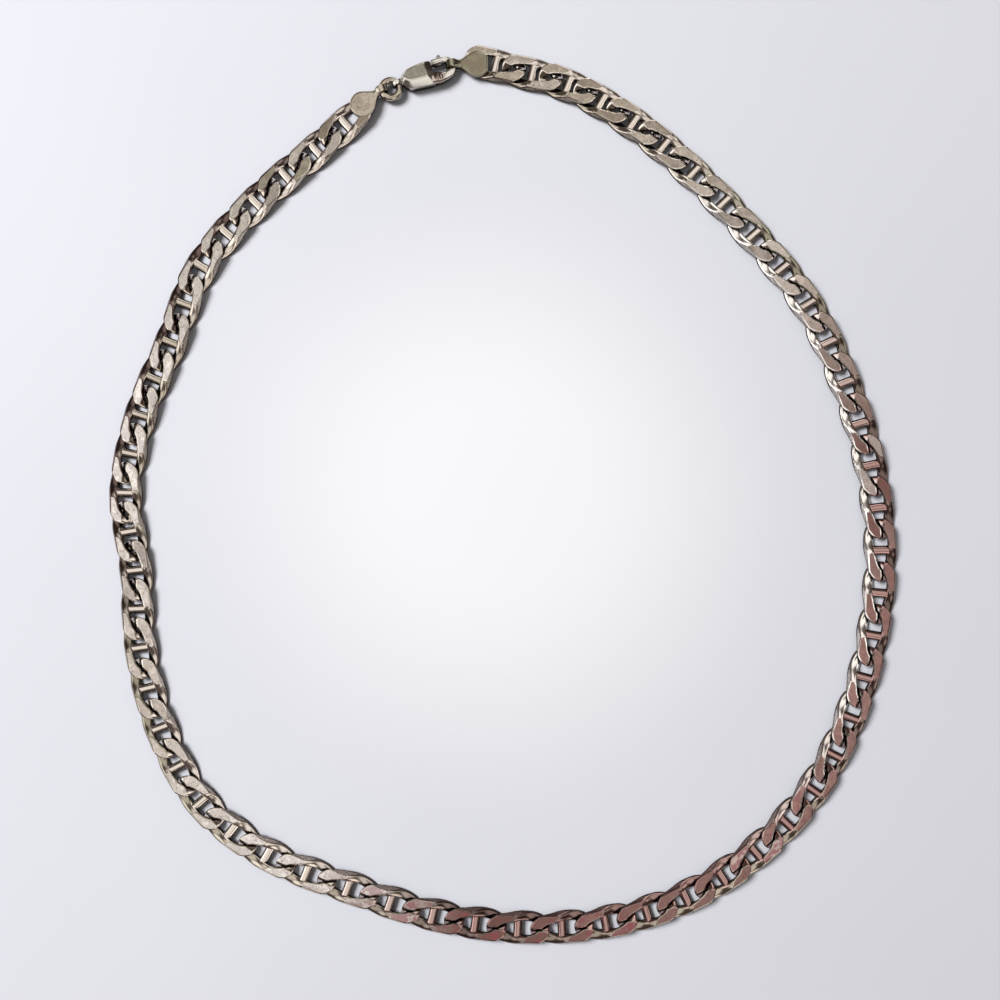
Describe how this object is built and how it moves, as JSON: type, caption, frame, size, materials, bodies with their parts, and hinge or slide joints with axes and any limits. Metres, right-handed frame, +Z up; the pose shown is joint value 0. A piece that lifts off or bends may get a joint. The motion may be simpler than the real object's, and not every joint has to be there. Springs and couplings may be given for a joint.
{
  "type": "mariner link chain necklace",
  "caption": "Flat mariner curb chain necklace, closed in a loop: barred links, teardrop end tabs, a jump ring and a lobster clasp with a sprung lever.",
  "frame": {"origin": "on the surface that the necklace lies on, at the middle of the loop", "axes": "+Z up from the surface, +Y from the middle of the loop towards the clasp side, +X to the right as seen from above"},
  "size_m": [0.1577, 0.1794, 0.003],
  "materials": {
    "link_silver": "filed and polished silver, tarnished in the recesses",
    "fitting_silver": "worn satin silver",
    "clasp_silver": "polished silver with greyed flats",
    "pin_steel": "plain"
  },
  "bodies": {
    "necklace": {"end_link_right": "fitting_silver", "chain_right": "link_silver", "chain_left": "link_silver", "end_link_left": "fitting_silver", "jump_ring": "fitting_silver", "clasp_body": "clasp_silver", "clasp_pin": "pin_steel"},
    "lever": {"clasp_lever": "clasp_silver"}
  },
  "joints": [
    {"name": "lever_hinge", "type": "hinge", "parent": "necklace", "child": "lever", "pos_m": [-0.01568, 0.08472, 0.00155], "axis": [0, 0, -1], "range_deg": [0, 22], "stiffness_Nm_per_rad": 0.004, "springref_deg": -20.05}
  ]
}
